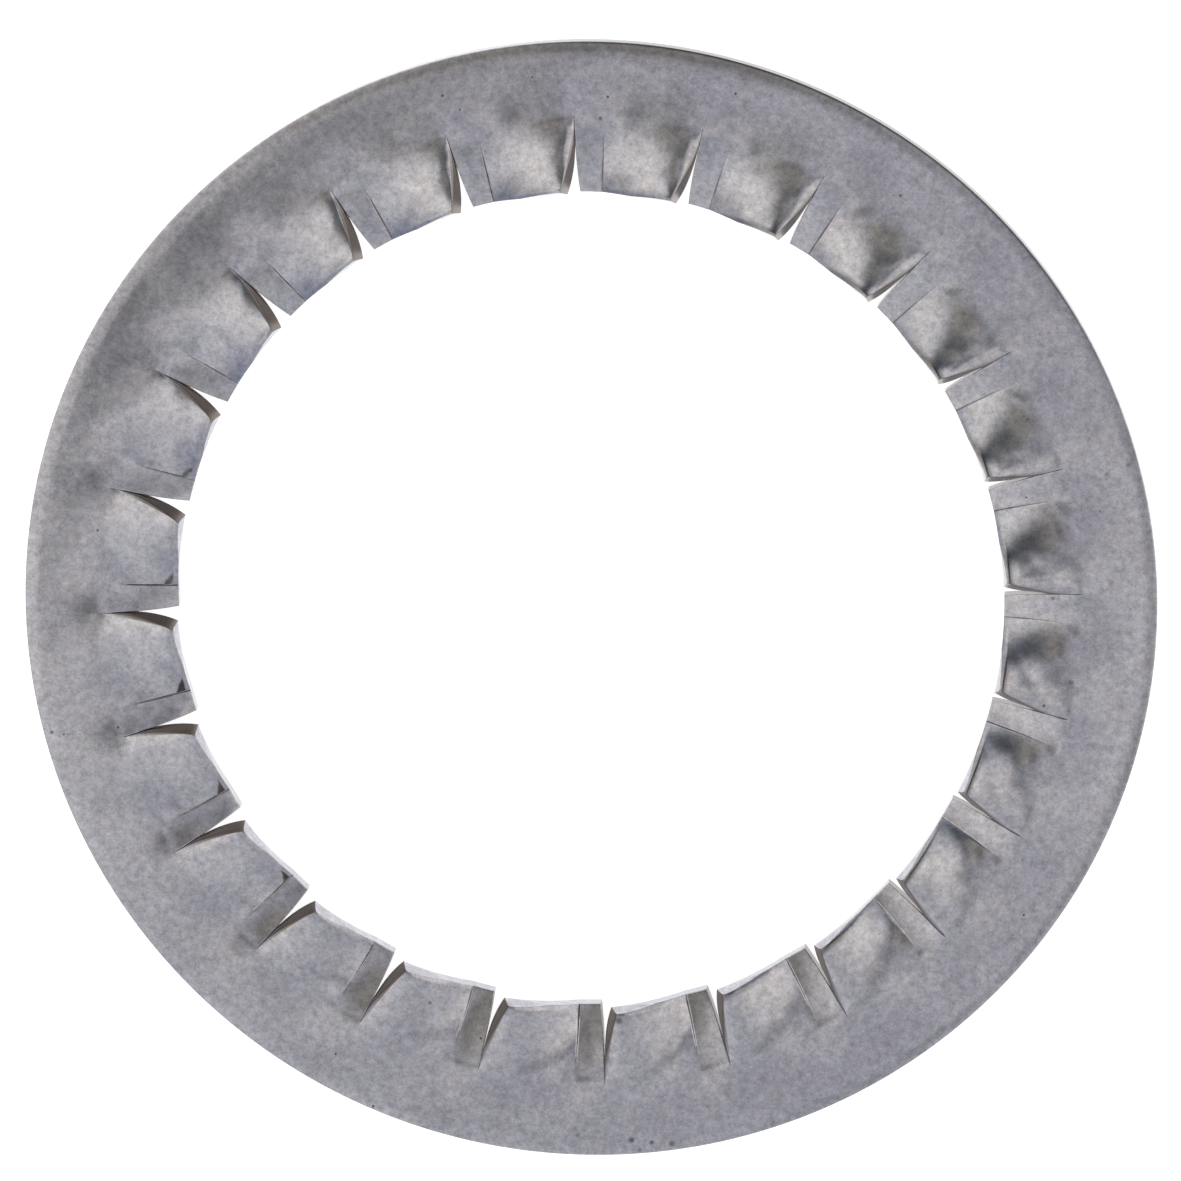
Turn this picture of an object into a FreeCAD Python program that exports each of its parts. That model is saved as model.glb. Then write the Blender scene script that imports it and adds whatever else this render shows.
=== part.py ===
import FreeCAD, Part
import os
from math import cos, pi, radians, sin, sqrt

# Internal toothed lock washer, pressed from one piece of sheet and lying flat.
# The origin is the centre of the bore in the middle of the sheet, +Z is up through the bore.

# Sizes in millimetres, angles in degrees
bore_diameter = 40.9
band_width = 7.55
sheet_thickness = 1.0
tooth_count = 24

# Slits between the teeth: how far they cut into the band, and where the first one stands
slit_length = 3.95
first_slit_angle = 76.8

# The twist: how far both corners of a tooth's tip stand off the ring, and how it builds up from the slit's root
tip_lift = 0.98
tip_drop = 0.98
twist_power = 1.2

# Room that opens between two teeth at the bore: beside the dropped edge, and beside the lifted one
# on the upper and on the under face, where the sheared wall tips back with the twist
gap_at_dropped_edge = 0.13
gap_above_lifted_edge = 0.776
gap_below_lifted_edge = 0.432
gap_power = 2.5

# The flat strip that the punch leaves along the dropped edge of each tooth
strip_width = 1.2

# How much the climb from the strip to the lifted edge bends over before it gets there
climb_bend = 0.55

# Soft swell that the twist leaves, highest this far inside the slit's root and spread both ways from there
swell_height = 0.10
swell_inside_root = 0.98
swell_into_tooth = 2.9
swell_into_ring = 2.45

# The punch tears the bore a little wider above its straight land
flare_start_height = 0.40
flare_height = 1.03
flare_width = 0.28

# Rolled-over upper rim of the blank
rim_roll_width = 1.0
rim_roll_drop = 0.20

# Teeth are drawn this much too long before the bore is cut
trim_length = 0.3

# Poles of the curved faces along a tooth, along the swell behind it, across the strip and across the rest
poles_along_tooth = 6
poles_along_swell = 5
poles_across_strip = 4
poles_across_body = 6

# Sizes that follow from those above
bore_radius = bore_diameter / 2
outer_radius = bore_radius + band_width
root_radius = bore_radius + slit_length
swell_radius = root_radius - swell_inside_root
calm_radius = swell_radius + swell_into_ring
pitch = 2 * pi / tooth_count
half_sheet = sheet_thickness / 2

# The two zones of a tooth, and the two skins of the sheet
strip_zone = 0
body_zone = 1
upper_side = 1
under_side = -1


def depth_along_tooth(radius):
    """0 at the slit's root, 1 at the bore."""
    return max(0.0, (root_radius - radius) / slit_length)


def swell_at(radius):
    if radius >= swell_radius:
        reach = (radius - swell_radius) / swell_into_ring
    else:
        reach = (swell_radius - radius) / swell_into_tooth
    return swell_height * cos(pi / 2 * min(reach, 1.0)) ** 2


def lifted_gaps(radius):
    """Room beside the lifted edge on the upper face and on the under face."""
    depth = depth_along_tooth(radius)
    return gap_above_lifted_edge * depth, gap_below_lifted_edge * depth ** gap_power


def tooth_lines(radius):
    """How far clockwise of the slit's line the dropped edge, the crease and the lifted edge lie."""
    dropped_edge = gap_at_dropped_edge * depth_along_tooth(radius) ** gap_power
    lifted_edge = pitch * radius - sum(lifted_gaps(radius)) / 2
    return dropped_edge, dropped_edge + strip_width, lifted_edge


def skin_point(slit_angle, radius, zone, place, side):
    """A point of the upper or under skin; place runs 0 to 1 clockwise across the zone."""
    lines = tooth_lines(radius)
    along = lines[zone] + place * (lines[zone + 1] - lines[zone])
    share = (along - lines[0]) / (lines[-1] - lines[0])
    climb = place + climb_bend * place ** 2 * (1 - place) if zone == body_zone else 0.0

    twist = depth_along_tooth(radius) ** twist_power
    dropped = -tip_drop * twist
    lifted = tip_lift * twist
    middle = dropped + (lifted - dropped) * climb - swell_at(radius) * sin(2 * pi * share)

    gap_above, gap_below = lifted_gaps(radius)
    lean = (gap_above - gap_below) * share
    rise = sqrt(sheet_thickness ** 2 - lean ** 2)
    angle = slit_angle - (along - side * lean / 2) / radius
    return FreeCAD.Vector(radius * cos(angle), radius * sin(angle), middle + side * rise / 2)


def pole_places(count):
    """Where the poles of a clamped cubic run lie between 0 and 1."""
    spans = count - 3
    knots = [0.0] * 3 + [step / spans for step in range(spans + 1)] + [1.0] * 3
    return [(knots[i + 1] + knots[i + 2] + knots[i + 3]) / 3 for i in range(count)]


def places_across(zone):
    return pole_places(poles_across_strip if zone == strip_zone else poles_across_body)


def skin_rows(slit_angle, from_radius, to_radius, count, zone, side):
    """Rows of poles that follow the skin from one radius outwards to another."""
    rows = []
    for step in pole_places(count):
        radius = from_radius + (to_radius - from_radius) * step
        rows.append([skin_point(slit_angle, radius, zone, place, side) for place in places_across(zone)])
    return rows


def knot_counts(count):
    """Degree, knots and how often each counts, for a clamped run of poles."""
    degree = min(3, count - 1)
    spans = count - degree
    knots = [step / spans for step in range(spans + 1)]
    counts = [degree + 1] + [1] * (spans - 1) + [degree + 1]
    return degree, knots, counts


def curved_face(rows):
    """A face hung on rows of poles; faces that share a row of poles share that edge exactly."""
    along_degree, along_knots, along_counts = knot_counts(len(rows))
    across_degree, across_knots, across_counts = knot_counts(len(rows[0]))
    surface = Part.BSplineSurface()
    surface.buildFromPolesMultsKnots(
        rows, along_counts, across_counts, along_knots, across_knots, False, False,
        along_degree, across_degree)
    return surface.toShape()


def column(rows, index):
    return [row[index] for row in rows]


def pitch_faces(slit_angle):
    """Every face of one overlong tooth and of the ring's swell behind it."""
    faces = []
    for zone, edge in ((strip_zone, 0), (body_zone, -1)):
        skins = []
        for side in (upper_side, under_side):
            tooth = skin_rows(slit_angle, bore_radius - trim_length, root_radius, poles_along_tooth, zone, side)
            swell = skin_rows(slit_angle, root_radius, calm_radius, poles_along_swell, zone, side)
            faces += [curved_face(tooth), curved_face(swell)]
            skins.append(tooth)
        upper, under = skins
        faces.append(curved_face([upper[0], under[0]]))
        faces.append(curved_face([column(upper, edge), column(under, edge)]))
    return faces


def calm_edges(side):
    """The closed run of edges where the swells have faded into the flat ring."""
    edges = []
    for tooth in range(tooth_count):
        slit_angle = radians(first_slit_angle) - tooth * pitch
        for zone in (strip_zone, body_zone):
            poles = [skin_point(slit_angle, calm_radius, zone, place, side) for place in places_across(zone)]
            degree, knots, counts = knot_counts(len(poles))
            curve = Part.BSplineCurve()
            curve.buildFromPolesMultsKnots(poles, counts, knots, False, degree)
            edges.append(curve.toShape())
    return edges


def ring_face(side, rim_radius):
    """The flat of the ring, from the swells to the rim."""
    centre = FreeCAD.Vector(0, 0, side * half_sheet)
    up = FreeCAD.Vector(0, 0, 1)
    rim = Part.Wire([Part.makeCircle(rim_radius, centre, up)])
    inner = Part.Wire(calm_edges(side))
    return Part.makeFace([rim, inner], "Part::FaceMakerBullseye")


def rim_faces():
    """The rolled-over upper rim and the cut wall below it."""
    roll_start = FreeCAD.Vector(outer_radius - rim_roll_width, 0, half_sheet)
    roll_end = FreeCAD.Vector(outer_radius, 0, half_sheet - rim_roll_drop)
    third = FreeCAD.Vector(rim_roll_width / 3, 0, 0)
    bend = Part.BezierCurve()
    bend.setPoles([roll_start, roll_start + third, roll_start + third * 2, roll_end])
    foot = FreeCAD.Vector(outer_radius, 0, -half_sheet)
    centre = FreeCAD.Vector(0, 0, 0)
    up = FreeCAD.Vector(0, 0, 1)
    roll = bend.toShape().revolve(centre, up, 360)
    wall = Part.makeLine(roll_end, foot).revolve(centre, up, 360)
    return roll.Faces + wall.Faces


def bore_cutter():
    """What the bore takes away: a straight land, and the flare above it."""
    below = -(tip_drop + sheet_thickness)
    above = tip_lift + sheet_thickness
    flare_slope = flare_width / flare_height
    top_radius = bore_radius + flare_slope * (above - flare_start_height)
    profile = Part.makePolygon([
        FreeCAD.Vector(0, 0, below),
        FreeCAD.Vector(bore_radius, 0, below),
        FreeCAD.Vector(bore_radius, 0, flare_start_height),
        FreeCAD.Vector(top_radius, 0, above),
        FreeCAD.Vector(0, 0, above),
        FreeCAD.Vector(0, 0, below)])
    return Part.Face(profile).revolve(FreeCAD.Vector(0, 0, 0), FreeCAD.Vector(0, 0, 1), 360)


faces = []
for tooth in range(tooth_count):
    faces += pitch_faces(radians(first_slit_angle) - tooth * pitch)
faces += ring_face(upper_side, outer_radius - rim_roll_width).Faces
faces += ring_face(under_side, outer_radius).Faces
faces += rim_faces()

shell = Part.makeShell(faces)
shell.sewShape()
overlong_teeth = Part.makeSolid(Part.Shell(shell.Faces))
lock_washer = overlong_teeth.cut(bore_cutter()).Solids[0]

os.makedirs("parts", exist_ok=True)
lock_washer.exportStep("parts/lock_washer.step")
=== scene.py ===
import bmesh
import bpy
import random
from math import cos, exp, pi, radians, sin, sqrt
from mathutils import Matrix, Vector, noise


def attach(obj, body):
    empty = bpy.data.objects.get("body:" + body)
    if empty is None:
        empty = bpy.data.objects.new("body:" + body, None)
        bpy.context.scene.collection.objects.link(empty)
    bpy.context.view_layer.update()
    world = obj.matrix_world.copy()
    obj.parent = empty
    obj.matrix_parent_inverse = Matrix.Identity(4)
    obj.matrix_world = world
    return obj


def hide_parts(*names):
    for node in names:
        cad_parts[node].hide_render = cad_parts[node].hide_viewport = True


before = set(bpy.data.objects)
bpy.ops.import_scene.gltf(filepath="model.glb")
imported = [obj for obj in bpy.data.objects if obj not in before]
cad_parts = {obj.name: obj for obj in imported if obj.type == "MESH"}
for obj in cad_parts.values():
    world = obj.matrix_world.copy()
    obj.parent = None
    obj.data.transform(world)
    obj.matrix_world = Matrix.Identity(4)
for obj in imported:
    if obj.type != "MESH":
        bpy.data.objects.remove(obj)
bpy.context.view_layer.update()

mm = 0.001


# helpers for every piece and material

def clamp(value):
    return min(1.0, max(0.0, value))


def ramp(value, start, end):
    # 0 up to the start, 1 from the end on, and even in between
    return clamp((value - start) / (end - start))


def linearColour(hexText):
    # sRGB hex to the linear values that the nodes take
    parts = [int(hexText[i:i + 2], 16) / 255 for i in (1, 3, 5)]
    return [p / 12.92 if p <= 0.04045 else ((p + 0.055) / 1.055) ** 2.4 for p in parts] + [1.0]


def newMaterial(name):
    made = bpy.data.materials.new(name)
    made.use_nodes = True
    made.node_tree.nodes.clear()
    return made


def addNode(tree, kind, inputs=None, **settings):
    # adds a node, sets its properties, then fills its inputs by name or number; what is a node or a socket
    # there is linked, a node by the first output that it has in use
    node = tree.nodes.new(kind)
    for name, value in settings.items():
        setattr(node, name, value)
    for name, value in (inputs or {}).items():
        if isinstance(value, bpy.types.Node):
            value = next(out for out in value.outputs if out.enabled)
        if isinstance(value, bpy.types.NodeSocket):
            tree.links.new(value, node.inputs[name])
        else:
            node.inputs[name].default_value = value
    return node


def newObject(name, bm):
    mesh = bpy.data.meshes.new(name)
    bm.to_mesh(mesh)
    bm.free()
    made = bpy.data.objects.new(name, mesh)
    bpy.context.collection.objects.link(made)
    return made


# the washer: one pitch of the flat blank, repeated and pressed into shape

washer = {
    "boreRadius": 20.45,        # all lengths in mm, as in the CAD
    "outerRadius": 28.0,
    "sheet": 1.0,
    "teeth": 24,
    "slitLength": 3.95,
    "firstSlit": 76.8,          # degrees from +X, the teeth run clockwise from it

    "tipLift": 1.09,            # how far the lifted corner of a tooth's tip stands above the ring's height
    "tipDrop": 0.95,            # and the dropped corner below it
    "twistEase": 0.35,          # how softly the twist starts at the slit's root
    "stripShare": 0.24,         # flat strip along the dropped edge, as a share of the tooth's width
    "stripClimb": 0.08,         # and its share of the climb to the lifted edge
    "climbBend": 0.14,          # how much the rest of the climb eases off
    "cornerBend": 0.15,         # slope by which the lifted corner is bent back, past a line across it
    "cornerTurn": 34.0,         # degrees from the bore's edge to that line
    "cornerStart": 1.0,         # and how far from the dropped corner it runs
    "cornerSoft": 0.06,

    "gapDropped": 0.13,         # room between two teeth at the bore, beside the dropped edge
    "gapLiftedUpper": 0.776,    # and beside the lifted edge, on the upper and on the under face
    "gapLiftedUnder": 0.432,
    "gapUpperPower": 1.3,       # how late the upper one opens from the slit's root
    "gapPower": 3.6,            # and the two others
    "kerf": 0.006,              # the least room in a slit, but for its very root
    "shoulderFrom": 0.35,       # near its root the slit's wall is one round shoulder; it turns flat
    "shoulderTo": 0.85,         # between these shares of the tooth's length
    "bendPace": 6,              # how many times faster than the slit's depth the bends grow from its root
    "roundPace": 12,            # and the rounded edge
    "kerfPace": 20,             # and the kerf

    "bulge": 0.10,              # soft swelling that the twist leaves round the slit's root
    "bulgeRadius": 23.5,
    "bulgeIntoTooth": 3.9,
    "bulgeIntoRing": 1.7,
    "bulgeLean": 0.19,          # its wave across the tooth isn't even but leans over,
    "bulgeRipple": 0.05,        # and has a ripple of half its length
    "bulgeRippleLean": 0.04,    # which leans over too

    "flareStart": 0.40,         # height on the bore's wall where it widens
    "flareHeight": 1.03,
    "flareWidth": 0.28,
    "flareReach": 0.8,          # how far from the bore the tooth still gives way to it
    "tipWornWidth": 0.20,       # the upper edge along the bore is worn off aslant
    "tipWornDrop": 0.10,
    "rimRollWidth": 0.9,        # softly rolled outer edge of the blank
    "rimRollDrop": 0.055,
    "slitRollWidth": 0.60,      # the same roll along the lifted edge, left by the shear
    "slitRollDrop": 0.07,
    "edgeRound": 0.035,         # every other edge, its sharpness tumbled off
    "creaseWidth": 0.035,       # hairline that the punch's corner cut beside the strip
    "creaseDepth": 0.03,
    "creaseFrom": 0.20,         # it sets in between these shares of the tooth's length
    "creaseTo": 0.45,

    "dentHeight": 0.022,        # unevenness of the pressed sheet
    "dentSize": 2.6,
    "dentFromRim": 1.5,         # it fades out from here to the rim, which is level
    "unevenTeeth": 0.05,        # how much less than the full twist a tooth may have
    "unevenBulges": (0.85, 1.15),
    "unevenCreases": (0.45, 1.0),
    "seed": 7,

    "tornFrom": 0.10,           # the slit's wall turns from burnished to torn between these shares of the
    "tornTo": 0.45,             # tooth's length
    "wornLine": 0.22,           # the bore's worn edge has a band of painted shade this far out, which fades as far each way
    "wornFrom": 0.45,           # and sets in between these shares of the tooth's width
    "wornTo": 0.75,
    "sharpAngle": 40.0,         # edges that turn by more degrees than this are drawn sharp
}

rootRadius = washer["boreRadius"] + washer["slitLength"]
pitch = 2 * pi / washer["teeth"]


def depthOf(radius):
    # how far into a tooth this radius is: 0 at the slit's root, 1 at the bore, less than 0 in the ring
    return (rootRadius - radius) / washer["slitLength"]


def bodyShare(share):
    # 0 on the flat strip, and from there to 1 at the lifted edge
    return max(0.0, (share - washer["stripShare"]) / (1 - washer["stripShare"]))


def roll(distance, width, drop):
    # how far the upper face has fallen at this distance from a rolled edge
    near = max(0.0, 1 - distance / width)
    return drop * near ** 2


def roundOver(fromEdge, fromFace, size):
    # slides a point that lies near a sharp corner onto a quarter round of this size
    if fromEdge >= size or fromFace >= size:
        return fromEdge, fromFace
    turn = pi / 4 * (1 + (fromFace - fromEdge) / size)
    return size * (1 - sin(turn)), size * (1 - cos(turn))


def edgeHeights(depth, tooth):
    # heights to which the twist brings a tooth's dropped edge and its lifted one
    ease = washer["twistEase"]
    twist = (1 + ease) * depth ** 2 / (depth + ease)
    return -washer["tipDrop"] * tooth["drop"] * twist, washer["tipLift"] * tooth["lift"] * twist


def slitGaps(depth):
    # room beside the dropped edge, and beside the lifted one on the upper and on the under face
    late = depth ** washer["gapPower"]
    besideDropped = washer["gapDropped"] * late + washer["kerf"] * min(1.0, depth * washer["kerfPace"])
    upper = washer["gapLiftedUpper"] * depth ** washer["gapUpperPower"]
    return besideDropped, upper, washer["gapLiftedUnder"] * late


def wallRecess(below, step, depth):
    # how far back the lifted edge's wall stands at this depth below its upper face: 1 at the top, 0 when it
    # meets the neighbour, which lies lower by the step
    smallestStep = 0.02
    straight = 1 - below / washer["sheet"]
    down = min(1.0, below / max(smallestStep, min(step, washer["sheet"])))
    shoulder = 1 - sqrt(1 - (1 - down) ** 2)
    flat = ramp(depth, washer["shoulderFrom"], washer["shoulderTo"])
    return shoulder + (straight - shoulder) * flat * flat * (3 - 2 * flat)


def bulgeAt(radius, share):
    # how deep the soft wave round a slit's root is: a hollow towards the dropped edge, and towards the lifted
    # one a swelling, where the depth is below 0
    reach = radius - washer["bulgeRadius"]
    reach /= washer["bulgeIntoRing"] if reach > 0 else washer["bulgeIntoTooth"]
    turn = 2 * pi * share
    wave = sin(turn) + washer["bulgeLean"] * (1 - cos(turn))
    wave += washer["bulgeRipple"] * sin(2 * turn) + washer["bulgeRippleLean"] * (1 - cos(2 * turn))
    return washer["bulge"] * exp(-reach * reach) * wave


def cornerBendAt(along, fromTip):
    # how far the sheet is bent back past the line across the lifted corner
    turn = radians(washer["cornerTurn"])
    beyond = sin(turn) * along - cos(turn) * fromTip - washer["cornerStart"]
    return washer["cornerBend"] * (beyond + sqrt(beyond ** 2 + washer["cornerSoft"] ** 2)) / 2


def upperFall(share, along, width, radius, tooth):
    # what the upper face has lost: the rolls along the lifted edge and the rim, the worn tip and the crease
    depth = depthOf(radius)
    fromTip = radius - washer["boreRadius"]
    fall = roll(width - along, washer["slitRollWidth"], washer["slitRollDrop"])
    fall *= clamp(depth * washer["bendPace"])
    fall += roll(washer["outerRadius"] - radius, washer["rimRollWidth"], washer["rimRollDrop"])
    worn = max(0.0, 1 - fromTip / washer["tipWornWidth"]) * min(1.0, bodyShare(share) * 2)
    fall += washer["tipWornDrop"] * worn
    crease = roll(abs(share - washer["stripShare"]) * width, washer["creaseWidth"], washer["creaseDepth"])
    return fall + crease * ramp(depth, washer["creaseFrom"], washer["creaseTo"]) * tooth["crease"]


def roundCorners(along, width, radius, layer):
    # slides a point near a sharp corner onto its round, first along the slit, then along the bore or the rim
    depth = depthOf(radius)
    onTop = layer > 0.5
    fromFace = washer["sheet"] * (1 - layer if onTop else layer)
    if depth > 0:
        atLifted = width - along < along
        size = washer["edgeRound"] * min(1.0, depth * washer["roundPace"])
        fromEdge, fromFace = roundOver(width - along if atLifted else along, fromFace, size)
        along = width - fromEdge if atLifted else fromEdge
    fromTip = radius - washer["boreRadius"]
    fromRim = washer["outerRadius"] - radius
    if fromTip < fromRim:
        fromTip, fromFace = roundOver(fromTip, fromFace, washer["edgeRound"])
        radius = washer["boreRadius"] + fromTip
    else:
        fromRim, fromFace = roundOver(fromRim, fromFace, washer["edgeRound"])
        radius = washer["outerRadius"] - fromRim
    return along, radius, 1 - fromFace / washer["sheet"] if onTop else fromFace / washer["sheet"]


def washerPoint(slitAngle, share, radius, layer, tooth):
    # where a point of the flat blank ends up: share runs from the dropped edge, 0, to the lifted one, 1,
    # and layer from the under face, 0, to the upper one, 1
    depth = max(0.0, depthOf(radius))
    dropped, lifted = edgeHeights(depth, tooth)
    besideDropped, gapUpper, gapUnder = slitGaps(depth)
    recess = wallRecess((1 - layer) * washer["sheet"], lifted - dropped, depth)
    width = pitch * radius - gapUnder - (gapUpper - gapUnder) * recess - besideDropped
    along = width * share

    # the strip stays nearly level, the rest climbs and eases off towards the lifted edge
    body = bodyShare(share)
    climb = washer["stripClimb"] * min(1.0, share / washer["stripShare"])
    climb += (1 - washer["stripClimb"]) * body * (1 + washer["climbBend"] * (1 - body))
    middle = dropped + (lifted - dropped) * climb - tooth["bulge"] * bulgeAt(radius, share)
    middle -= cornerBendAt(along, radius - washer["boreRadius"]) * min(1.0, depth * washer["bendPace"])
    fall = upperFall(share, along, width, radius, tooth)
    along, out, layer = roundCorners(along, width, radius, layer)

    # the sheet stands square to its slope, and the fall dies out towards the middle of the sheet
    lean = (gapUpper - gapUnder) * share
    rise = sqrt(washer["sheet"] ** 2 - lean ** 2)
    height = middle + (layer - 0.5) * rise - fall * max(0.0, layer * 2 - 1) ** 3
    flare = max(0.0, (height - washer["flareStart"]) / washer["flareHeight"]) * washer["flareWidth"]
    reach = out + flare * max(0.0, 1 - (out - washer["boreRadius"]) / washer["flareReach"])
    angle = slitAngle - (besideDropped + along) / radius
    point = Vector((reach * cos(angle), reach * sin(angle), height))
    dent = noise.noise(Vector((point.x, point.y, 0)) / washer["dentSize"]) * washer["dentHeight"]
    point.z += dent * min(1.0, (washer["outerRadius"] - out) / washer["dentFromRim"])
    return point * mm


def loopCuts():
    # where the blank is cut, close together where the form turns: shares of the pitch, radii, and shares of
    # the sheet's thickness
    strip = washer["stripShare"]
    columns = 17
    columnWidth = 0.0345
    across = [0.005, 0.011, 0.05, 0.11, 0.16, 0.205]
    across += [strip + step for step in (-0.016, -0.007, 0, 0.007, 0.016)]
    across += [strip + 0.030 + columnWidth * i for i in range(columns)]
    across += [0.855, 0.885, 0.91, 0.932, 0.948, 0.960, 0.970, 0.979, 0.987, 0.994]

    bore = washer["boreRadius"]
    nearBore = 0.3
    rows = 17
    radii = [bore + step for step in (0.025, 0.05, 0.12, 0.2, nearBore)]
    radii += [bore + nearBore + (washer["slitLength"] - nearBore) * (i + 1) / rows for i in range(rows)]
    radii += [rootRadius + 0.12] + [rootRadius + 0.46 * (i + 1) for i in range(5)]
    radii += [washer["outerRadius"] - step for step in (0.8, 0.62, 0.47, 0.34, 0.22, 0.12, 0.05, 0.025)]

    through = (0.025, 0.05, 0.35, 0.62, 0.74, 0.83, 0.90, 0.95, 0.975)
    return across, radii, through


def flatPitch():
    # one pitch of the blank, cut flat: x across, y radius, z layer
    bm = bmesh.new()
    bmesh.ops.create_cube(bm, size=1)
    bmesh.ops.scale(bm, vec=(1, washer["outerRadius"] - washer["boreRadius"], 1), verts=bm.verts)
    centre = (0.5, (washer["outerRadius"] + washer["boreRadius"]) / 2, 0.5)
    bmesh.ops.translate(bm, vec=centre, verts=bm.verts)
    for axis, cuts in enumerate(loopCuts()):
        square = Vector((0, 0, 0))
        square[axis] = 1
        for cut in cuts:
            everything = bm.verts[:] + bm.edges[:] + bm.faces[:]
            bmesh.ops.bisect_plane(bm, geom=everything, plane_co=square * cut, plane_no=square)

    # past the slit the pitches are one sheet, so there is no wall between them
    walls = [f for f in bm.faces if abs(f.normal.x) > 0.9]
    joined = [f for f in walls if f.calc_center_median().y > rootRadius]
    bmesh.ops.delete(bm, geom=joined, context="FACES")

    # what the finish follows: the torn walls, the crease, and the worn edge above the bore, the last two also
    # for painted shade
    sheared = bm.faces.layers.float.new("sheared")
    for f in bm.faces:
        depth = depthOf(f.calc_center_median().y)
        f[sheared] = ramp(depth, washer["tornFrom"], washer["tornTo"]) if abs(f.normal.x) > 0.9 else 0.0
    crease = bm.verts.layers.float.new("crease")
    worn = bm.verts.layers.float.new("wornEdge")
    for v in bm.verts:
        share, radius, layer = v.co
        if layer > 0.99 and abs(share - washer["stripShare"]) < 0.001:
            v[crease] = ramp(depthOf(radius), washer["creaseFrom"], washer["creaseTo"])
        if layer > 0.97:
            aside = abs(radius - washer["boreRadius"] - washer["wornLine"]) / washer["wornLine"]
            v[worn] = clamp(1 - aside) * ramp(share, washer["wornFrom"], washer["wornTo"])
    mesh = bpy.data.meshes.new("flatPitch")
    bm.to_mesh(mesh)
    bm.free()
    return mesh


def buildWasher():
    chance = random.Random(washer["seed"])
    blank = flatPitch()
    bm = bmesh.new()
    for number in range(washer["teeth"]):
        start = len(bm.verts)
        bm.from_mesh(blank)
        bm.verts.ensure_lookup_table()
        crease = bm.verts.layers.float["crease"]
        slitAngle = radians(washer["firstSlit"]) - number * pitch
        tooth = {
            "lift": 1 - washer["unevenTeeth"] * chance.random(),
            "drop": 1 - washer["unevenTeeth"] * chance.random(),
            "bulge": chance.uniform(*washer["unevenBulges"]),
            "crease": chance.uniform(*washer["unevenCreases"]),
        }
        for v in bm.verts[start:]:
            v[crease] *= tooth["crease"]
            v.co = washerPoint(slitAngle, *v.co, tooth)
    bmesh.ops.remove_doubles(bm, verts=bm.verts, dist=0.0002 * mm)
    bmesh.ops.recalc_face_normals(bm, faces=bm.faces)
    for f in bm.faces:
        f.smooth = True
    for e in bm.edges:
        e.smooth = e.calc_face_angle(0) <= radians(washer["sharpAngle"])
    print("washer: open edges", sum(1 for e in bm.edges if len(e.link_faces) != 2), "faces", len(bm.faces))
    return newObject("lock_washer_sheet", bm)


# its finish

steel = {
    "bright": "#b4b3bb",        # the drum's polish on spring steel strip
    "dull": "#abaab3",
    "cloudSize": 3.2,           # all lengths in mm
    "grainSize": 0.42,          # speckle from the drum, in octaves down to the 0.05 mm that just shows
    "grainDepth": 0.76,
    "roughnessDull": 0.08,      # from the dull clouds to the bright ones
    "roughnessBright": 0.13,
    "roughnessTorn": 0.22,      # and how much rougher the torn walls and the pits are
    "roughnessPit": 0.3,

    "tint": "#b9a898",          # faint warm film that the drum's compound leaves in freckles
    "tintSize": 0.35,
    "tintStrength": 0.22,
    "sheared": "#877d76",       # torn, unpolished wall of a slit
    "shearedPaintedLit": "#a39d99",  # the same, lighter: painted light on the walls that face the lamp on the right
    "paintedLightTurn": 70,            # where that is, in degrees clockwise from the top of the picture
    "paintedLightFrom": -12.0,         # and how far that way the change begins and ends
    "paintedLightTo": 14.0,

    "soilAndShade": "#4b4644",          # dirt in pits and spots; painted shade in the crease, along the rim and in the bore's worn edge
    "pitSpacing": 0.9,
    "pitRare": 0.65,            # share of the places that have no pit
    "pitSize": 0.09,
    "pitSoft": 0.02,
    "pitSoil": 0.85,
    "spotCore": 0.3,            # share of a spot's half-size that is evenly dark
    "rimShadeWidth": 0.16,       # painted shade along the rim
    "rimShadeTurn": 28,          # is darkest at this many degrees clockwise from the top of the picture
    "rimShadeFrom": 21.0,        # and sets in between these distances that way
    "rimShadeTo": 26.5,
    "rimShade": 0.8,
    "boreShadeFrom": -4.0,       # painted shade in the bore's worn edge grows from left to right between these
    "boreShadeTo": 17.0,
    "boreShadeLeft": 0.1,
    "boreShadeRight": 0.9,
}

# single spots on the upper face: x, y, half-size in mm, and how dark
spots = (
    (2.1, -27.2, 0.20, 0.75), (3.1, -27.3, 0.17, 0.7), (4.1, -27.35, 0.22, 0.65), (2.5, -27.7, 0.16, 0.5),
    (-0.6, -27.0, 0.16, 0.4), (-7.95, -20.3, 0.13, 0.55), (1.5, -20.95, 0.26, 0.7), (22.85, 0.5, 0.14, 0.6),
    (26.5, 7.25, 0.16, 0.45), (25.45, 6.8, 0.16, 0.4), (23.8, -3.65, 0.18, 0.5), (20.8, 6.5, 0.42, 0.35),
    (25.7, 1.4, 0.22, 0.35), (0.53, 24.2, 0.14, 0.65), (-26.75, -6.8, 0.14, 0.7), (19.2, 5.9, 0.2, 0.3),
)


def towards(turn):
    # plan direction at this many degrees clockwise from the top of the picture
    return sin(radians(turn)), cos(radians(turn)), 0


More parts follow.
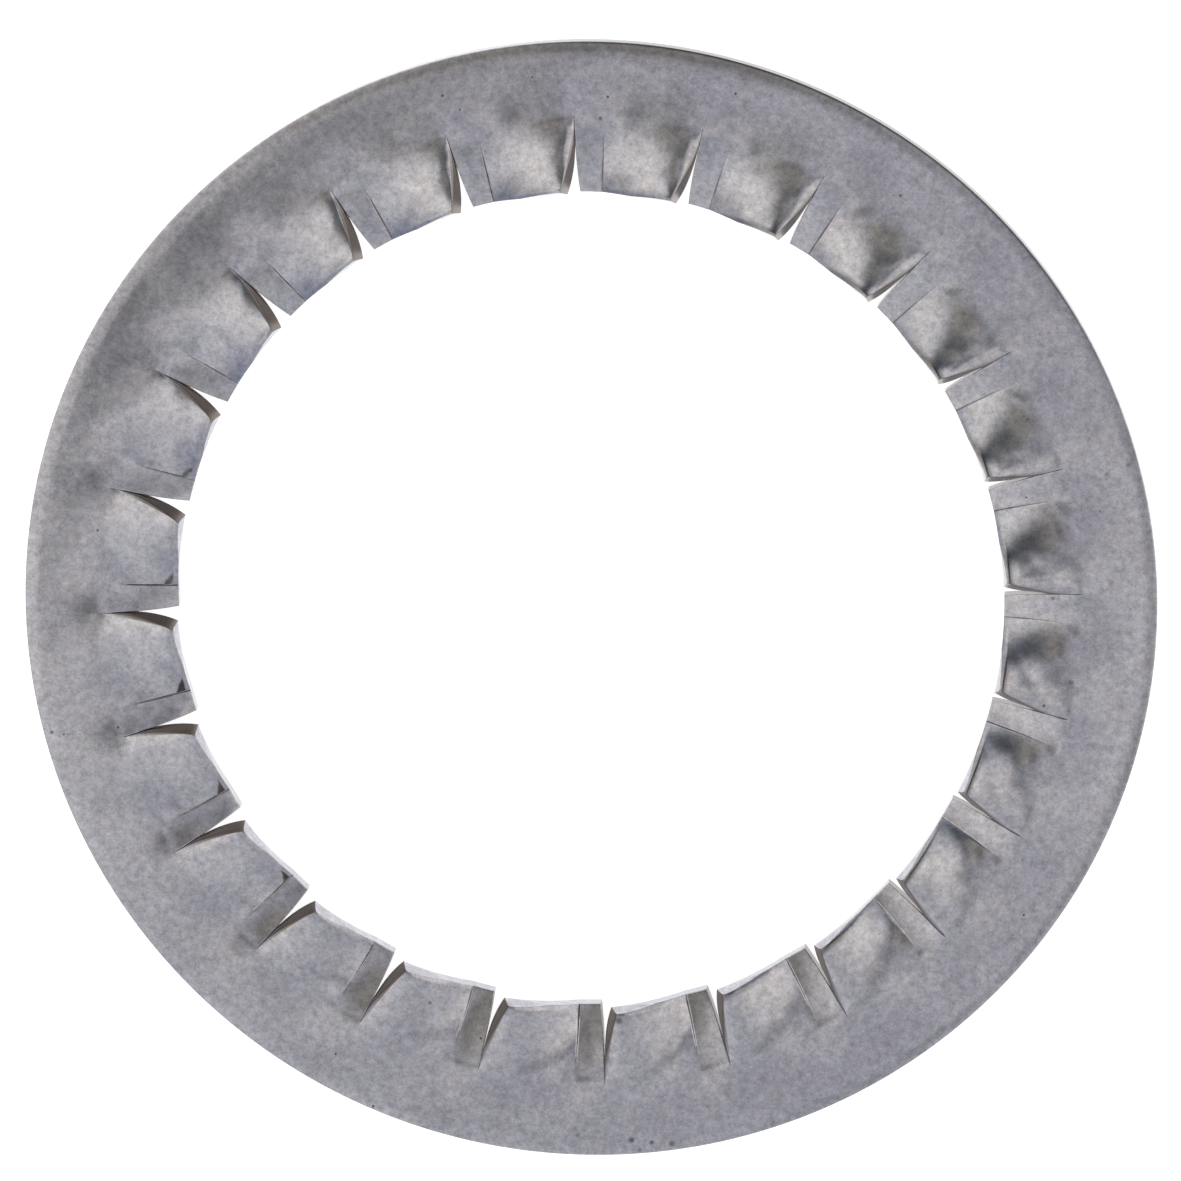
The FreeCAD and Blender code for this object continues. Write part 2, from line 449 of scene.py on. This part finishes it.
def dirtAndShadeOn(tree, place, flat):
    # how dark a point is painted: dirt in the single spots, painted shade in a band along the rim on one
    # side, and painted shade in the worn edge of the bore
    darkened = 0.0
    for x, y, size, dark in spots:
        away = addNode(tree, "ShaderNodeVectorMath", {0: flat, 1: (x, y, 0)}, operation="DISTANCE")
        spot = addNode(tree, "ShaderNodeMapRange", {
            "Value": away, "From Min": size * steel["spotCore"], "From Max": size,
            "To Min": dark, "To Max": 0.0,
        }, interpolation_type="SMOOTHSTEP")
        darkened = addNode(tree, "ShaderNodeMath", {0: spot, 1: darkened}, operation="MAXIMUM")
    apart = addNode(tree, "ShaderNodeSeparateXYZ", {0: place}).outputs
    upper = addNode(tree, "ShaderNodeMapRange", {
        "Value": apart["Z"], "From Min": -0.2, "From Max": 0.0,
    }, interpolation_type="SMOOTHSTEP")
    darkened = addNode(tree, "ShaderNodeMath", {0: darkened, 1: upper}, operation="MULTIPLY")

    # painted shade: a dark band along the rim, darkest towards the upper right
    away = addNode(tree, "ShaderNodeVectorMath", {0: flat}, operation="LENGTH")
    rim = addNode(tree, "ShaderNodeMapRange", {
        "Value": away, "From Min": washer["outerRadius"] - steel["rimShadeWidth"],
        "From Max": washer["outerRadius"] - 0.03,
    }, interpolation_type="SMOOTHSTEP")
    darkestWay = towards(steel["rimShadeTurn"])
    side = addNode(tree, "ShaderNodeVectorMath", {0: flat, 1: darkestWay}, operation="DOT_PRODUCT")
    side = addNode(tree, "ShaderNodeMapRange", {
        "Value": side, "From Min": steel["rimShadeFrom"], "From Max": steel["rimShadeTo"],
        "To Max": steel["rimShade"],
    }, interpolation_type="SMOOTHSTEP")
    rim = addNode(tree, "ShaderNodeMath", {0: rim, 1: side}, operation="MULTIPLY")
    darkened = addNode(tree, "ShaderNodeMath", {0: darkened, 1: rim}, operation="MAXIMUM")

    # painted shade: a dark band in the bore's worn edge, darker to the right
    worn = addNode(tree, "ShaderNodeAttribute", attribute_name="wornEdge").outputs["Fac"]
    side = addNode(tree, "ShaderNodeMapRange", {
        "Value": apart["X"], "From Min": steel["boreShadeFrom"], "From Max": steel["boreShadeTo"],
        "To Min": steel["boreShadeLeft"], "To Max": steel["boreShadeRight"],
    }, interpolation_type="SMOOTHSTEP")
    worn = addNode(tree, "ShaderNodeMath", {0: worn, 1: side}, operation="MULTIPLY")
    return addNode(tree, "ShaderNodeMath", {0: darkened, 1: worn}, operation="MAXIMUM")


def tumbledSteel():
    # barrel-tumbled spring steel strip: satin, violet-grey, softly clouded, with fine pits and dulled walls;
    # light and shade are painted on the walls, the crease, the rim and the bore's edge
    material = newMaterial("tumbledSpringSteel")
    tree = material.node_tree
    metres = addNode(tree, "ShaderNodeTexCoord").outputs["Object"]
    place = addNode(tree, "ShaderNodeVectorMath", {0: metres, "Scale": 1 / mm}, operation="SCALE")
    flat = addNode(tree, "ShaderNodeVectorMath", {0: place, 1: (1, 1, 0)}, operation="MULTIPLY")
    sheared = addNode(tree, "ShaderNodeAttribute", attribute_name="sheared").outputs["Fac"]
    crease = addNode(tree, "ShaderNodeAttribute", attribute_name="crease").outputs["Fac"]

    clouds = addNode(tree, "ShaderNodeTexNoise", {
        "Vector": place, "Scale": 1 / steel["cloudSize"], "Detail": 6, "Roughness": 0.62})
    grain = addNode(tree, "ShaderNodeTexNoise", {
        "Vector": place, "Scale": 1 / steel["grainSize"], "Detail": 3, "Roughness": 0.95})
    film = addNode(tree, "ShaderNodeTexNoise", {
        "Vector": place, "Scale": 1 / steel["tintSize"], "Detail": 2, "Roughness": 0.8})

    # a pit sits in the middle of some of the cells, the larger the rarer
    pits = addNode(tree, "ShaderNodeTexVoronoi", {"Vector": place, "Scale": 1 / steel["pitSpacing"]}).outputs
    drawn = addNode(tree, "ShaderNodeSeparateColor", {"Color": pits["Color"]})
    size = addNode(tree, "ShaderNodeMapRange", {
        "Value": drawn, "From Min": steel["pitRare"], "To Max": steel["pitSize"],
    }, interpolation_type="SMOOTHSTEP")
    pit = addNode(tree, "ShaderNodeMath", {0: size, 1: pits["Distance"]}, operation="SUBTRACT")
    pit = addNode(tree, "ShaderNodeMapRange", {
        "Value": pit, "From Max": steel["pitSoft"],
    }, interpolation_type="SMOOTHSTEP")
    pitSoil = addNode(tree, "ShaderNodeMath", {0: pit, 1: steel["pitSoil"]}, operation="MULTIPLY")

    # the polish, clouded and speckled
    cloudy = addNode(tree, "ShaderNodeMapRange", {
        "Value": clouds, "From Min": 0.35, "From Max": 0.65,
    }, interpolation_type="SMOOTHSTEP")
    tone = addNode(tree, "ShaderNodeMix", {
        "Factor": cloudy, "A": linearColour(steel["dull"]), "B": linearColour(steel["bright"]),
    }, data_type="RGBA")
    speckle = addNode(tree, "ShaderNodeMapRange", {
        "Value": grain, "To Min": 1 + steel["grainDepth"], "To Max": 1 - steel["grainDepth"]})
    tone = addNode(tree, "ShaderNodeVectorMath", {0: tone, "Scale": speckle}, operation="SCALE")

    # over it the film, the torn walls with painted light on one side, the dirt, and the painted shade
    film = addNode(tree, "ShaderNodeMapRange", {
        "Value": film, "From Min": 0.42, "From Max": 0.75, "To Max": steel["tintStrength"],
    }, interpolation_type="SMOOTHSTEP")
    # painted light: the torn walls turn lighter towards the lamp on the right
    litmostWay = towards(steel["paintedLightTurn"])
    litSide = addNode(tree, "ShaderNodeVectorMath", {0: flat, 1: litmostWay}, operation="DOT_PRODUCT")
    litSide = addNode(tree, "ShaderNodeMapRange", {
        "Value": litSide, "From Min": steel["paintedLightFrom"], "From Max": steel["paintedLightTo"],
    }, interpolation_type="SMOOTHSTEP")
    torn = addNode(tree, "ShaderNodeMix", {
        "Factor": litSide, "A": linearColour(steel["sheared"]), "B": linearColour(steel["shearedPaintedLit"]),
    }, data_type="RGBA")
    soilAndShade = linearColour(steel["soilAndShade"])
    # the crease takes painted shade, as do the rim and the bore's edge from dirtAndShadeOn; the pits and
    # spots are dirt
    coats = (
        (film, linearColour(steel["tint"])), (sheared, torn),
        (pitSoil, soilAndShade), (crease, soilAndShade), (dirtAndShadeOn(tree, place, flat), soilAndShade),
    )
    for amount, colour in coats:
        tone = addNode(tree, "ShaderNodeMix", {"Factor": amount, "A": tone, "B": colour}, data_type="RGBA")

    rough = addNode(tree, "ShaderNodeMapRange", {
        "Value": clouds, "From Min": 0.3, "From Max": 0.7,
        "To Min": steel["roughnessDull"], "To Max": steel["roughnessBright"],
    }, interpolation_type="SMOOTHSTEP")
    for amount, added in ((sheared, steel["roughnessTorn"]), (pit, steel["roughnessPit"])):
        rough = addNode(tree, "ShaderNodeMath", {0: amount, 1: added, 2: rough}, operation="MULTIPLY_ADD")

    bump = addNode(tree, "ShaderNodeBump", {"Height": grain, "Strength": 0.15, "Distance": 0.01 * mm})
    bump = addNode(tree, "ShaderNodeBump", {
        "Height": pit, "Strength": 0.6, "Distance": -0.01 * mm, "Normal": bump})
    shader = addNode(tree, "ShaderNodeBsdfPrincipled", {
        "Base Color": tone, "Metallic": 1.0, "Roughness": rough, "Normal": bump})
    addNode(tree, "ShaderNodeOutputMaterial", {"Surface": shader})
    return material


washerPiece = buildWasher()
washerPiece.data.materials.append(tumbledSteel())
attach(washerPiece, "root")
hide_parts("lock_washer")
print("washer done")


# floor, light and camera

studio = {
    "floorHeight": -1.50 * mm,  # the washer's dropped corners stand just above it
    "floorSize": 0.6,           # metres to each side of the middle
    "floorGlow": 0.72,          # what the camera and the metal see of the card beyond the light it catches
    "cameraDistance": 0.520,    # metres
    "tiltBack": -10.90,         # degrees, the camera stands a little towards the top of the picture
    "tiltSide": 3.474,          # and to the right
    "focal": 320.7,
    "sensor": 36,
    "shift": (0.0003, 0.0099),
    "clipStart": 0.01,
    "tentRadius": 0.26,
    "tentFabric": (0.205, 0.262, 0.383),    # its own faint glow, blue from the room
    "tentDarkest": (0.05, 0.05, 0.05),
    "tentStrength": 1.01,
    "tentMean": 0.85,           # and how bright the tent is all over, for what isn't mirrored in the metal
}

# Light and shade on the tent, seen in plan: x to the right, y towards the top of the picture, and 1 is the
# horizon. Each has its centre, its half-size, its turn in degrees, how crisp its edge is, and what it adds to
# the glow.
tentPatches = {
    "openingForTheLens": ((0.03, 0.32), (0.48, 0.22), 60, 2, (-0.43, -0.44, -0.475)),
    "foldLeftOfTheLens": ((-0.19, -0.11), (0.06, 0.12), -49, 2, (-0.27, -0.25, -0.23)),
    "foldRightOfTheLens": ((0.27, -0.16), (0.07, 0.14), -16, 2, (-0.32, -0.31, -0.28)),
    "leftLamp": ((-0.29, -0.03), (0.30, 0.64), -79, 1, (0.91, 0.83, 0.65)),
    "rightLamp": ((0.84, 0.27), (0.57, 1.25), -27, 1, (0.92, 0.83, 0.63)),
    "glowBelow": ((-0.38, -0.56), (0.59, 0.24), -30, 1, (0.59, 0.55, 0.44)),
    "glowAbove": ((-0.34, 0.55), (0.94, 0.27), 46, 1, (0.90, 0.83, 0.63)),
    "leftSeam": ((-0.84, -0.15), (0.14, 0.39), -7, 1, (-0.52, -0.50, -0.44)),
    "slackTop": ((-0.01, 0.00), (0.35, 0.13), 1, 1, (-0.82, -0.78, -0.65)),
    "armRight": ((0.28, 0.12), (0.09, 0.22), 29, 2, (-0.38, -0.36, -0.33)),
    "armBelow": ((0.28, -0.29), (0.30, 0.05), 41, 2, (-0.20, -0.19, -0.20)),
    "paleMiddle": ((-0.06, 0.00), (0.20, 0.09), 1, 2, (0.43, 0.43, 0.40)),
    "foldBelow": ((0.00, -0.17), (0.07, 0.17), 11, 2, (-0.13, -0.13, -0.10)),
    "paleTop": ((-0.02, -0.05), (0.10, 0.07), 0, 1, (0.18, 0.18, 0.18)),
    "duskBelow": ((-0.11, -0.32), (0.10, 0.07), 0, 1, (-0.08, -0.08, -0.08)),
    "duskLeft": ((-0.16, -0.08), (0.05, 0.05), 0, 1, (-0.06, -0.06, -0.06)),
}


def buildFloor():
    # matt white card; the camera and the metal see it as white, and it takes the washer's shadow
    bm = bmesh.new()
    bmesh.ops.create_grid(bm, x_segments=1, y_segments=1, size=studio["floorSize"])
    bmesh.ops.translate(bm, vec=(0, 0, studio["floorHeight"]), verts=bm.verts)
    floor = newObject("floor", bm)
    material = newMaterial("whiteCard")
    tree = material.node_tree
    path = addNode(tree, "ShaderNodeLightPath").outputs
    seen = addNode(tree, "ShaderNodeMath", {
        0: path["Is Camera Ray"], 1: path["Is Glossy Ray"],
    }, operation="MAXIMUM")
    seen = addNode(tree, "ShaderNodeMath", {0: seen, 1: path["Is Transmission Ray"]}, operation="MAXIMUM")
    card = addNode(tree, "ShaderNodeBsdfDiffuse", {"Color": (0.8, 0.8, 0.8, 1)})
    glow = addNode(tree, "ShaderNodeEmission", {"Color": (1, 1, 1, 1), "Strength": studio["floorGlow"]})
    both = addNode(tree, "ShaderNodeAddShader", {0: card, 1: glow})
    top = addNode(tree, "ShaderNodeMixShader", {0: seen, 1: card, 2: both})
    # from below the card is clear, so that the washer's under face can be looked at
    below = addNode(tree, "ShaderNodeNewGeometry").outputs["Backfacing"]
    clear = addNode(tree, "ShaderNodeBsdfTransparent")
    face = addNode(tree, "ShaderNodeMixShader", {0: below, 1: top, 2: clear})
    addNode(tree, "ShaderNodeOutputMaterial", {"Surface": face})
    floor.data.materials.append(material)


def buildTent():
    # a white light tent over the washer; the camera looks in from outside, so it doesn't see the fabric
    bm = bmesh.new()
    bmesh.ops.create_uvsphere(bm, u_segments=64, v_segments=32, radius=studio["tentRadius"])
    tent = newObject("lightTent", bm)
    material = newMaterial("tentFabric")
    tree = material.node_tree
    centred = addNode(tree, "ShaderNodeTexCoord").outputs["Object"]
    way = addNode(tree, "ShaderNodeVectorMath", {0: centred}, operation="NORMALIZE")
    plan = addNode(tree, "ShaderNodeVectorMath", {0: way, 1: (1, 1, 0)}, operation="MULTIPLY")
    total = addNode(tree, "ShaderNodeCombineXYZ", dict(enumerate(studio["tentFabric"])))
    for centre, size, turn, crisp, added in tentPatches.values():
        local = addNode(tree, "ShaderNodeMapping", {
            "Vector": plan, "Location": (*centre, 0), "Rotation": (0, 0, radians(turn)), "Scale": (*size, 1),
        }, vector_type="TEXTURE")
        away = addNode(tree, "ShaderNodeVectorMath", {0: local, 1: local}, operation="DOT_PRODUCT")
        away = addNode(tree, "ShaderNodeMath", {0: away, 1: crisp}, operation="POWER")
        fade = addNode(tree, "ShaderNodeMath", {0: away, 1: -1.0}, operation="MULTIPLY")
        fade = addNode(tree, "ShaderNodeMath", {0: fade}, operation="EXPONENT")
        part = addNode(tree, "ShaderNodeVectorMath", {0: added, "Scale": fade}, operation="SCALE")
        total = addNode(tree, "ShaderNodeVectorMath", {0: total, 1: part}, operation="ADD")
    total = addNode(tree, "ShaderNodeVectorMath", {0: total, 1: studio["tentDarkest"]}, operation="MAXIMUM")
    patched = addNode(tree, "ShaderNodeEmission", {"Color": total, "Strength": studio["tentStrength"]})
    # what isn't mirrored in the metal, the white card for one, gets the fabric's mean
    even = addNode(tree, "ShaderNodeEmission", {"Color": (1, 1, 1, 1), "Strength": studio["tentMean"]})
    mirrored = addNode(tree, "ShaderNodeLightPath").outputs["Is Glossy Ray"]
    glow = addNode(tree, "ShaderNodeMixShader", {0: mirrored, 1: even, 2: patched})
    addNode(tree, "ShaderNodeOutputMaterial", {"Surface": glow})
    material.cycles.emission_sampling = "NONE"
    tent.data.materials.append(material)
    tent.visible_camera = False


def buildBackdrop():
    world = bpy.data.worlds.new("whiteRoom")
    bpy.context.scene.world = world
    world.use_nodes = True
    world.node_tree.nodes["Background"].inputs["Color"].default_value = (1, 1, 1, 1)


def buildCamera():
    data = bpy.data.cameras.new("camera")
    camera = bpy.data.objects.new("camera", data)
    bpy.context.collection.objects.link(camera)
    camera.rotation_euler = (radians(studio["tiltBack"]), radians(studio["tiltSide"]), 0)
    camera.location = camera.rotation_euler.to_matrix() @ Vector((0, 0, studio["cameraDistance"]))
    data.lens = studio["focal"]
    data.sensor_width = studio["sensor"]
    data.shift_x, data.shift_y = studio["shift"]
    data.clip_start = studio["clipStart"]
    bpy.context.scene.camera = camera


buildFloor()
buildTent()
buildBackdrop()
buildCamera()
bpy.context.scene.view_settings.view_transform = "Standard"
print("studio done")
